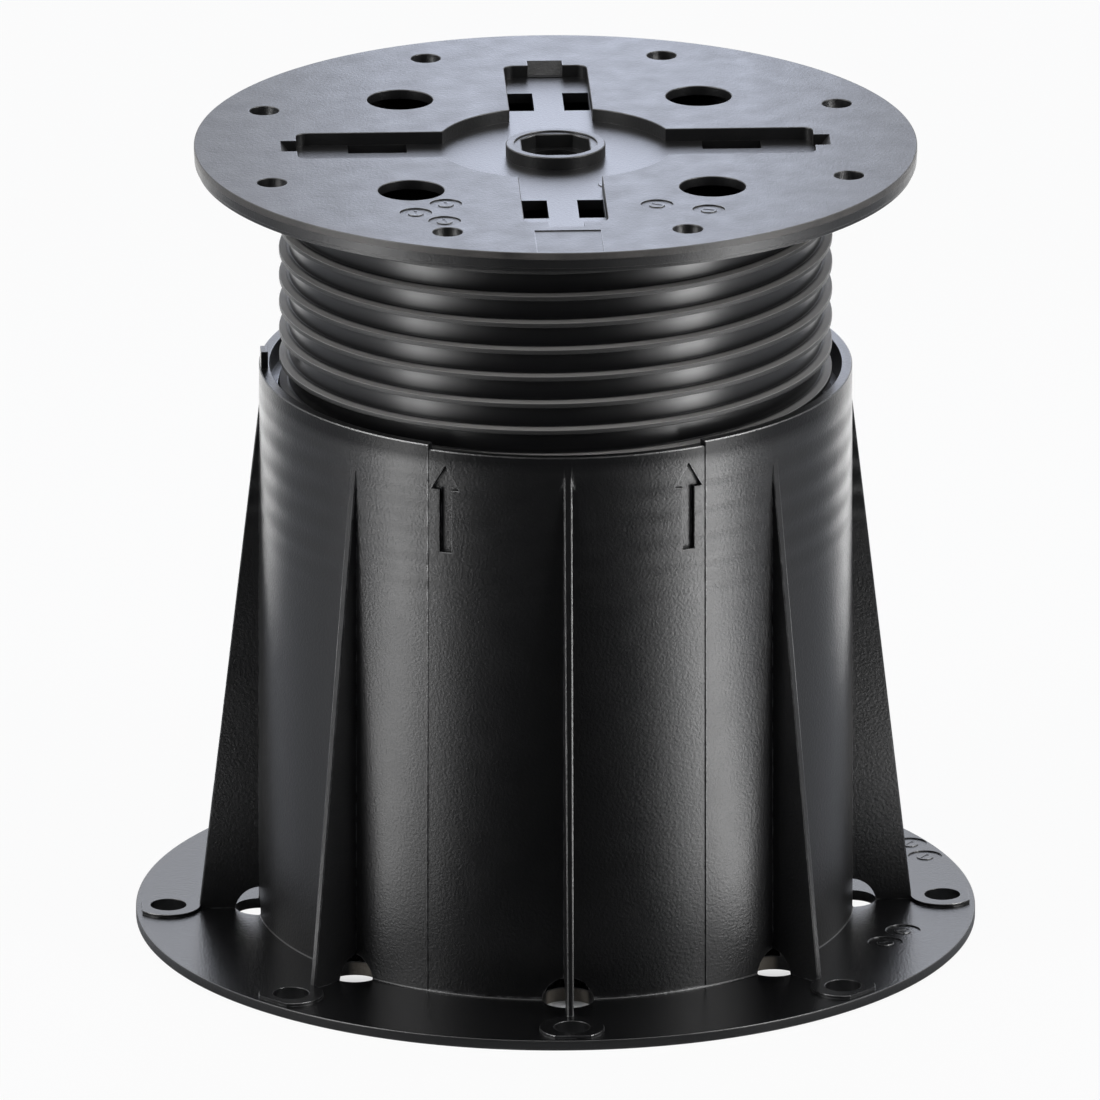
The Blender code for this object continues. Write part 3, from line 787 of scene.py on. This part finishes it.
insert_marks(plate, PLATE_MARKS, PLATE_MARK_RADIUS, top)
gate = lofted(disc(GATE_RADIUS, 48), [(0, recess_floor_top - 0.0006), (0, recess_floor_top + 0.0001),
                                      (-0.0001, recess_floor_top + 0.0002)])
combine(plate, "UNION", at_mark(gate, *GATE_PLACE))
bm = bmesh.new()
bmesh.ops.create_cube(bm, size=1.0)
bmesh.ops.scale(bm, verts=bm.verts, vec=(*PLATE_PANEL, 0.001))
moved(bm, 0, PLATE_PANEL_MIDDLE, top - PLATE_PANEL_DEPTH + 0.0005)
combine(plate, "DIFFERENCE", rounded(bm, MARK_EDGE))
finished(plate, "screw_head", "screw_head")

# Threaded barrel
# A hollow barrel under the plate with a coarse one-start thread. The grooves are smooth and
# the narrow ridges are sandy and dull from turning in the collar. The ridges' upward shelves
# also carry painted light, as if lit from above, and the lower part of each groove has painted shade.
CREST_WIDTH = 0.0011
UPPER_FLANK_RISE = 0.0003
LOWER_FLANK_RISE = 0.0006
CREST_DROP = 0.0176
BARREL_LENGTH = 0.1365
CREST_ROUND = 0.00022
CREST_COLOUR = (0.012, 0.012, 0.012, 1)
# Colour of the ridges' upward shelves: sandy wear, with painted light from above.
SHELF_SAND_AND_LIGHT_COLOUR = (0.32, 0.31, 0.30, 1)
GROOVE_SHADE = (0.62, 0.22)
THREAD_STEPS = 128
crest_height = top - CREST_DROP
barrel_bottom = plate_underside - BARREL_LENGTH


def thread_profile(root, crest, half, lower_rise, upper_rise, round_root, round_crest):
    """One pitch of a thread as (radius, height) from groove to groove, its corners rounded."""
    corners = [((root, -half - lower_rise), round_root), ((crest, -half), round_crest),
               ((crest, half), round_crest), ((root, half + upper_rise), round_root)]
    points = []
    for index, (corner, size) in enumerate(corners):
        before = Vector(corners[index - 1][0]) if index else Vector((root, -PITCH / 2))
        after = Vector(corners[index + 1][0]) if index < 3 else Vector((root, PITCH / 2))
        here = Vector(corner)
        first = here + (before - here).normalized() * size
        last = here + (after - here).normalized() * size
        for step in range(4):
            t = step / 3
            points.append((1 - t) ** 2 * first + 2 * t * (1 - t) * here + t ** 2 * last)
    return points


def coil(profile, height_at_front, bottom, upper):
    """Sweep one pitch of thread through a turn, stack the turns, and cut both ends flat."""
    turns = math.ceil((upper - bottom) / PITCH) + 2
    middle = height_at_front - PITCH * (math.floor((height_at_front - bottom) / PITCH) + 2)
    bm = bmesh.new()
    points = [(p[0], middle + p[1]) for p in profile]
    points.append((points[0][0], points[0][1] + PITCH))
    verts = [bm.verts.new((0, -r, z)) for r, z in points]
    edges = [bm.edges.new(pair) for pair in zip(verts, verts[1:])]
    bmesh.ops.spin(bm, geom=verts + edges, cent=(0, 0, 0), axis=(0, 0, 1),
                   dvec=(0, 0, PITCH / THREAD_STEPS), angle=TURN, steps=THREAD_STEPS,
                   use_merge=False, use_duplicate=False)
    turn = bm.verts[:] + bm.edges[:] + bm.faces[:]
    for index in range(1, turns):
        copy = bmesh.ops.duplicate(bm, geom=turn)["geom"]
        copied = [item for item in copy if isinstance(item, bmesh.types.BMVert)]
        bmesh.ops.translate(bm, verts=copied, vec=(0, 0, PITCH * index))
    bmesh.ops.remove_doubles(bm, verts=bm.verts, dist=1e-5)
    for height, facing in ((bottom, 1), (upper, -1)):
        geometry = bm.verts[:] + bm.edges[:] + bm.faces[:]
        bmesh.ops.bisect_plane(bm, geom=geometry, dist=2e-6, plane_co=(0, 0, height),
                               plane_no=(0, 0, facing), clear_inner=True)
    return bm


def tube_closed(bm, bore, bottom, upper):
    """Line the coil with a plain bore and close the flat ring at each end."""
    rims = {height: [edge for edge in bm.edges if edge.is_boundary
                     and all(abs(vert.co.z - height) < 5e-6 for vert in edge.verts)]
            for height in (bottom, upper)}
    ends = [bm.verts.new((bore, 0, height)) for height in (bottom, upper)]
    wall = bm.edges.new(ends)
    bmesh.ops.spin(bm, geom=ends + [wall], cent=(0, 0, 0), axis=(0, 0, 1), dvec=(0, 0, 0),
                   angle=TURN, steps=THREAD_STEPS, use_merge=True, use_duplicate=False)
    for height in (bottom, upper):
        circle = [edge for edge in bm.edges if edge.is_boundary
                  and all(abs(vert.co.z - height) < 5e-6 for vert in edge.verts)
                  and edge not in rims[height]]
        bmesh.ops.triangle_fill(bm, use_beauty=True, use_dissolve=False, edges=rims[height] + circle)


thread_plastic, tree, shader = plastic("thread_plastic", 0.30, 0.000006, 0.5)
x, y, z, reach = place_parts(tree)
ridge_mask = ramp(tree, reach, root_radius + 0.0003, root_radius + 0.0009)
wear_and_light_layer(tree, shader, ridge_mask, CREST_COLOUR, 0.5, 0.00003)
# Painted light: the ridges' upward-facing shelves get a pale colour over their sand, as if lit from above.
shelf_sand_and_light_mask = math_node(tree, "MULTIPLY", ridge_mask, ramp(tree, normal_height(tree), 0.25, 0.8))
wear_and_light_layer(tree, shader, shelf_sand_and_light_mask, SHELF_SAND_AND_LIGHT_COLOUR, 0.62, 0.00004)
angle = math_node(tree, "DIVIDE", math_node(tree, "ARCTAN2", y, x), TURN)
climbed = math_node(tree, "DIVIDE", math_node(tree, "SUBTRACT", z, crest_height), PITCH)
behind = math_node(tree, "ADD", angle, 0.25)
above_ridge = math_node(tree, "FRACT", math_node(tree, "SUBTRACT", climbed, behind))
in_groove = ramp(tree, reach, root_radius + 0.0005, root_radius + 0.0002)
# Painted shade: the lower part of each groove, just above the next ridge, reflects less.
groove_shade_mask = math_node(tree, "MULTIPLY", ramp(tree, above_ridge, *GROOVE_SHADE), in_groove)
specular_where(tree, shader, groove_shade_mask, 0.1)
profile = thread_profile(root_radius, CREST_RADIUS, CREST_WIDTH / 2, LOWER_FLANK_RISE, UPPER_FLANK_RISE,
                         CREST_ROUND, CREST_ROUND)
bm = coil(profile, crest_height, barrel_bottom, barrel_top)
tube_closed(bm, bore_radius, barrel_bottom, barrel_top)
barrel = new_object(bm, "threaded_barrel", thread_plastic)
finished(barrel, "screw_head", "screw_head")

# Base: flange and collar
# A wide thin flange and a tall collar, moulded in one, with a drafted wall; the front panel
# of the collar is set back and a little lower at the rim.
COLLAR_BORE = 0.0678
COLLAR_RADIUS = 0.0703
COLLAR_HEIGHT = 0.1381
COLLAR_DRAFT = 0.0005
FLANGE_RADIUS = 0.1
FLANGE_THICKNESS = 0.0025
FLOOR_THICKNESS = 0.0035
OPENING_RADIUS = 0.052
FOOT_FILLET = 0.0004
PANEL_HALF_ANGLE = math.radians(27.7)
PANEL_SET_BACK = 0.0004
PANEL_RIM_DROP = 0.0012
BASE_STEPS = 256
RIM_CHAMFER = 0.00022
RIM_ROUND = 0.0002
FLANGE_EDGE = 0.0003
PANEL_EDGE_DEPTH = 0.00022
PANEL_EDGE_WIDTH = 0.00015
PANEL_CUT_REACH = 0.085
FLANGE_MARKS = ((0.0834, 67.4), (0.0850, 73.9), (0.0948, 108.7), (0.0955, 114.8))
FLANGE_MARK_RADIUS = 0.0041
# Pale edge colour of the collar: a sandy scuff, made light enough to be a painted highlight along the edges
# too.
COLLAR_SCUFF_AND_HIGHLIGHT = (0.20, 0.20, 0.205, 1)
# Painted light, tinted brown, on the far walls low in the drain mouths, as if lit from the front.
MOUTH_WALL_LIT_COLOUR = (0.13, 0.115, 0.095, 1)
SINK_DEPTH = 0.00011
WALL_LEVELS = 14
foot = COLLAR_RADIUS + COLLAR_DRAFT
low = FLANGE_THICKNESS + FOOT_FILLET
wall_top = COLLAR_HEIGHT - RIM_CHAMFER


def wall_radius(height):
    """Radius of the drafted outer wall at a height."""
    return foot - COLLAR_DRAFT * (height - low) / (wall_top - low)


heights = [low + (wall_top - low) * level / WALL_LEVELS for level in range(WALL_LEVELS + 1)]
flange_round = (FLANGE_RADIUS - FLANGE_EDGE, FLANGE_THICKNESS - FLANGE_EDGE)
section = [(OPENING_RADIUS, 0), (FLANGE_RADIUS - FLANGE_EDGE, 0), (FLANGE_RADIUS, FLANGE_EDGE)]
section += arc(FLANGE_EDGE, flange_round, 0, quarter, 3)
section += arc(FOOT_FILLET, (foot + FOOT_FILLET, low), -quarter, -2 * quarter, 4)
section += [(wall_radius(height), height) for height in heights[1:]]
section += [(COLLAR_RADIUS - RIM_CHAMFER, COLLAR_HEIGHT)]
section += arc(RIM_ROUND, (COLLAR_BORE + RIM_ROUND, COLLAR_HEIGHT - RIM_ROUND), quarter, 2 * quarter, 3)
section += [(COLLAR_BORE, FLOOR_THICKNESS), (OPENING_RADIUS, FLOOR_THICKNESS)]
# The collar's edges are scuffed, and their pale colour is also a painted highlight along them.
collar_plastic, tree, shader = plastic("collar_plastic", 0.31, 0.00008, 0.6, COLLAR_SCUFF_AND_HIGHLIGHT,
                                       grain_size=1500, polish=1.0)
x, y, z, reach = place_parts(tree)
# The side faces in the top few millimetres of the collar reflect less.
rim_band_reflection = math_node(tree, "MULTIPLY", ramp(tree, z, 0.1328, 0.1352),
                     ramp(tree, normal_height(tree), 0.35, 0.15))
specular_where(tree, shader, rim_band_reflection, 0.2)
flat_flange = math_node(tree, "MULTIPLY", ramp(tree, z, 0.0042, 0.0036),
                        ramp(tree, normal_height(tree), 0.9, 0.99))
roughness_where(tree, shader, flat_flange, 0.23)
# Painted light: the far walls low in the drain mouths get a pale brown colour, as if lit from the front.
mouth_wall_lit_mask = math_node(tree, "MULTIPLY", ramp(tree, reach, 0.0672, 0.0660), ramp(tree, z, 0.0034, 0.0030))
wear_and_light_layer(tree, shader, mouth_wall_lit_mask, MOUTH_WALL_LIT_COLOUR, 0.6, 0.00003)
angle = math_node(tree, "DIVIDE", math_node(tree, "ARCTAN2", y, x), TURN)
phase = math_node(tree, "SUBTRACT", math_node(tree, "DIVIDE", z, PITCH), angle)
wave = math_node(tree, "SINE", math_node(tree, "MULTIPLY", phase, TURN))
threaded = math_node(tree, "MULTIPLY", ramp(tree, z, 0.094, 0.104), ramp(tree, z, 0.1345, 0.130))
sunk = math_node(tree, "MULTIPLY", wave, threaded)
sink = tree.nodes.new("ShaderNodeBump")
sink.inputs["Distance"].default_value = SINK_DEPTH
tree.links.new(sunk, sink.inputs["Height"])
tree.links.new(shader.inputs["Normal"].links[0].from_socket, sink.inputs["Normal"])
tree.links.new(sink.outputs["Normal"], shader.inputs["Normal"])
base = new_object(spun(section, BASE_STEPS, FRONT), "base_moulding", collar_plastic)
insert_marks(base, FLANGE_MARKS, FLANGE_MARK_RADIUS, FLANGE_THICKNESS)


def panel_outline(margin):
    """Plan of the cutter that sets the panel back along +X; it breaks the two edges beside it."""
    wall = COLLAR_RADIUS + margin
    last = PANEL_HALF_ANGLE + PANEL_EDGE_WIDTH / wall
    flare = [(wall - PANEL_EDGE_DEPTH, PANEL_HALF_ANGLE), (wall, last), (PANEL_CUT_REACH, last)]
    floor_line = arc(wall - PANEL_SET_BACK, (0, 0), -PANEL_HALF_ANGLE, PANEL_HALF_ANGLE, 41)
    right = [(r * math.cos(a), r * math.sin(a)) for r, a in flare]
    left = [(x, -y) for x, y in reversed(right)]
    return left + floor_line + right


levels = [(wall_radius(height) - COLLAR_RADIUS, height) for height in heights + [COLLAR_HEIGHT + CUT_PAST]]
panel = turned(lofted(panel_outline, levels), FRONT)
drop = COLLAR_HEIGHT - PANEL_RIM_DROP
within = COLLAR_BORE - CUT_PAST
above = COLLAR_HEIGHT + 2 * CUT_PAST
face = COLLAR_RADIUS - PANEL_SET_BACK
dip = [(within, drop), (face - RIM_CHAMFER, drop), (face + CUT_PAST, drop - RIM_CHAMFER - CUT_PAST),
       (face + CUT_PAST, above), (within, above)]
combine(base, "DIFFERENCE", panel, spun(dip, 41, FRONT - PANEL_HALF_ANGLE, 2 * PANEL_HALF_ANGLE))

# Fins, foot pads and the stop block
# Eight thin tapered fins brace the collar; each runs out to a round pad with a screw hole. A
# small block on the rim at the back stops the plate at the lowest height.
FIN_COUNT = 8
FIN_ROOT_THICKNESS = 0.002
FIN_EDGE_THICKNESS = 0.0015
FIN_TOE = 0.085
FIN_TOP_GAP = 0.0071
FIN_TAPER = 0.003
FIN_CHAMFER_RUN = 0.0002
FIN_CHAMFER_WIDTH = 0.0003
FOOT_CIRCLE = 0.0923
FOOT_RING_RADIUS = 0.00765
FOOT_RING_HEIGHT = 0.0008
FOOT_RING_EDGE_GAP = 0.0014
FOOT_HOLE_RADIUS = 0.00425
STOP_ANGLE = math.radians(180.4)
STOP_WIDTH = 0.0052
STOP_TOP = 0.1423
STOP_ROOT = 0.0008
STOP_SET_IN = 0.0003
PAD_EDGE = 0.00012


def fin_shape():
    """One tapered fin along +X with two narrow chamfers on its free edge."""
    inner = COLLAR_BORE + 0.00125
    tip = COLLAR_RADIUS - COLLAR_DRAFT / 2
    head = COLLAR_HEIGHT - FIN_TOP_GAP
    lean = (FIN_TOE - tip) / (head - FLANGE_THICKNESS)
    edge_lines = [(FIN_TOE, FIN_EDGE_THICKNESS, FLANGE_THICKNESS / 2),
                  (FIN_TOE, FIN_EDGE_THICKNESS, FLANGE_THICKNESS),
                  (tip - lean * FIN_TAPER, FIN_ROOT_THICKNESS, head + FIN_TAPER)]
    outlines = []
    for reach, thickness, height in edge_lines:
        side = [(inner, FIN_ROOT_THICKNESS / 2), (reach - FIN_CHAMFER_RUN, thickness / 2),
                (reach, thickness / 2 - FIN_CHAMFER_WIDTH)]
        outlines.append([(x, -y, height) for x, y in side] + [(x, y, height) for x, y in reversed(side)])
    return skinned(outlines)


def foot_pad():
    """A low round pad, its upper edge rounded, cut straight just inside the flange's edge."""
    height = FLANGE_THICKNESS + FOOT_RING_HEIGHT
    levels = [(0, FLANGE_THICKNESS / 2), (0, height - PAD_EDGE), (-PAD_EDGE, height)]
    bm = moved(lofted(disc(FOOT_RING_RADIUS, 72), levels), FOOT_CIRCLE, 0)
    geometry = bm.verts[:] + bm.edges[:] + bm.faces[:]
    bmesh.ops.bisect_plane(bm, geom=geometry, plane_co=(FLANGE_RADIUS - FOOT_RING_EDGE_GAP, 0, 0),
                           plane_no=(1, 0, 0), clear_outer=True)
    open_edges = [edge for edge in bm.edges if edge.is_boundary]
    bmesh.ops.holes_fill(bm, edges=open_edges, sides=0)
    return bm


near = COLLAR_BORE + RIM_ROUND + STOP_SET_IN
far = COLLAR_RADIUS - STOP_SET_IN
block = [(near, COLLAR_HEIGHT - STOP_ROOT), (far, COLLAR_HEIGHT - STOP_ROOT), (far, STOP_TOP),
         (near, STOP_TOP)]
width = STOP_WIDTH / COLLAR_RADIUS
stop = rounded(spun(block, 6, STOP_ANGLE - width / 2, width), 0.0002)
combine(base, "UNION", repeated(fin_shape(), FIN_COUNT, FRONT), repeated(foot_pad(), FIN_COUNT, FRONT), stop)

# Drain mouths, screw holes and arrow marks
# A domed mouth is moulded through the foot of each fin so that water runs out; two arrows on
# the front panel show where the stop lies.
DRAIN_RADIUS = 0.0062
DRAIN_HEIGHT = 0.0079
ARROW_ANGLE = math.radians(24.2)
ARROW_DEPTH = 0.0013
ARROW_TOP_GAP = 0.0048
ARROW_LENGTH = 0.0213
ARROW_HEAD_LENGTH = 0.0059
ARROW_HEAD_WIDTH = 0.0068
ARROW_SHAFT_WIDTH = 0.0029
ARROW_MOUTH_ROUND = 0.00018
FOOT_HOLE_ROUND = 0.00015


def drain_mouth():
    """The dome that is cut away at a fin's foot."""
    dome = arc(DRAIN_RADIUS, (0.0, DRAIN_HEIGHT - DRAIN_RADIUS), 0.0, quarter, 10)
    profile = [(0.0, -CUT_PAST), (DRAIN_RADIUS, -CUT_PAST)] + dome[:-1] + [(0.0, DRAIN_HEIGHT)]
    bm = bmesh.new()
    verts = [bm.verts.new((r, 0, z)) for r, z in profile]
    edges = [bm.edges.new(pair) for pair in zip(verts, verts[1:])]
    bmesh.ops.spin(bm, geom=verts + edges, cent=(0, 0, 0), axis=(0, 0, 1), dvec=(0, 0, 0),
                   angle=TURN, steps=48, use_merge=True, use_duplicate=False)
    bmesh.ops.remove_doubles(bm, verts=bm.verts, dist=1e-6)
    return moved(bm, COLLAR_RADIUS, 0)


def grown(outline, margin):
    """Move every side of a closed outline outwards by a margin."""
    points = [Vector(point) for point in outline]
    moved_points = []
    for index, here in enumerate(points):
        before = (here - points[index - 1]).normalized()
        after = (points[(index + 1) % len(points)] - here).normalized()
        first = Vector((before.y, -before.x))
        second = Vector((after.y, -after.x))
        middle = (first + second).normalized()
        moved_points.append(here + middle * margin / middle.dot(first))
    return moved_points


def arrow_mark():
    """Upward arrow cutter along +X with a rounded mouth that follows the panel's face."""
    upper = COLLAR_HEIGHT - ARROW_TOP_GAP
    neck = upper - ARROW_HEAD_LENGTH
    tail = upper - ARROW_LENGTH
    head = ARROW_HEAD_WIDTH / 2
    shaft = ARROW_SHAFT_WIDTH / 2
    outline = [(0, upper), (-head, neck), (-shaft, neck), (-shaft, tail),
               (shaft, tail), (shaft, neck), (head, neck)]
    deep = COLLAR_RADIUS - PANEL_SET_BACK - ARROW_DEPTH
    soft = ARROW_MOUTH_ROUND
    outlines = [[(deep, y, z) for y, z in outline]]
    mouth = [(soft - soft * math.cos(a), soft * math.sin(a) - soft)
             for a in (0, quarter / 3, 2 * quarter / 3, 0.93 * quarter)]
    last = mouth[-1][0] + 0.00004
    for margin, out in mouth + [(last, 0.00001), (last, CUT_PAST)]:
        level = []
        for y, z in grown(outline, margin):
            reach = wall_radius(z) - PANEL_SET_BACK + out
            level.append((reach * math.cos(y / reach), reach * math.sin(y / reach), z))
        outlines.append(level)
    return skinned(outlines)


foot_levels = hole_levels(0, FLANGE_THICKNESS + FOOT_RING_HEIGHT, FOOT_HOLE_ROUND)
hole = moved(lofted(disc(FOOT_HOLE_RADIUS, 48), foot_levels), FOOT_CIRCLE, 0)
combine(base, "DIFFERENCE", repeated(hole, FIN_COUNT, FRONT), repeated(drain_mouth(), FIN_COUNT, FRONT))
combine(base, "DIFFERENCE", *[turned(arrow_mark(), FRONT + side * ARROW_ANGLE) for side in (-1, 1)])
finished(base, "base", "base")

# Collar thread
# A low coil of black polypropylene, moulded inside the rim of the collar; it runs under the
# screw's crest and carries it.
COLLAR_RIDGE_DEPTH = 0.002
COLLAR_RIDGE_WIDTH = 0.0012
COLLAR_THREAD_TOP_GAP = 0.003
COLLAR_THREAD_LENGTH = 0.0363
ridge_middle = crest_height - (CREST_WIDTH + COLLAR_RIDGE_WIDTH) / 2
thread_top = COLLAR_HEIGHT - COLLAR_THREAD_TOP_GAP
turns = math.floor(COLLAR_THREAD_LENGTH / PITCH)
start_height = ridge_middle - PITCH * (math.floor((ridge_middle - thread_top) / PITCH) + 1 + turns)
half = COLLAR_RIDGE_WIDTH / 2
inner = COLLAR_BORE - COLLAR_RIDGE_DEPTH
ridge = [(COLLAR_BORE + 0.0008, start_height - half - 0.0005), (inner, start_height - half + 0.0001),
         (inner, start_height + half - 0.0001), (COLLAR_BORE + 0.0008, start_height + half + 0.0003)]
bm = spun(ridge, turns * THREAD_STEPS, FRONT, turns * TURN, turns * PITCH)
finished(new_object(bm, "collar_thread", collar_plastic), "base", "base")
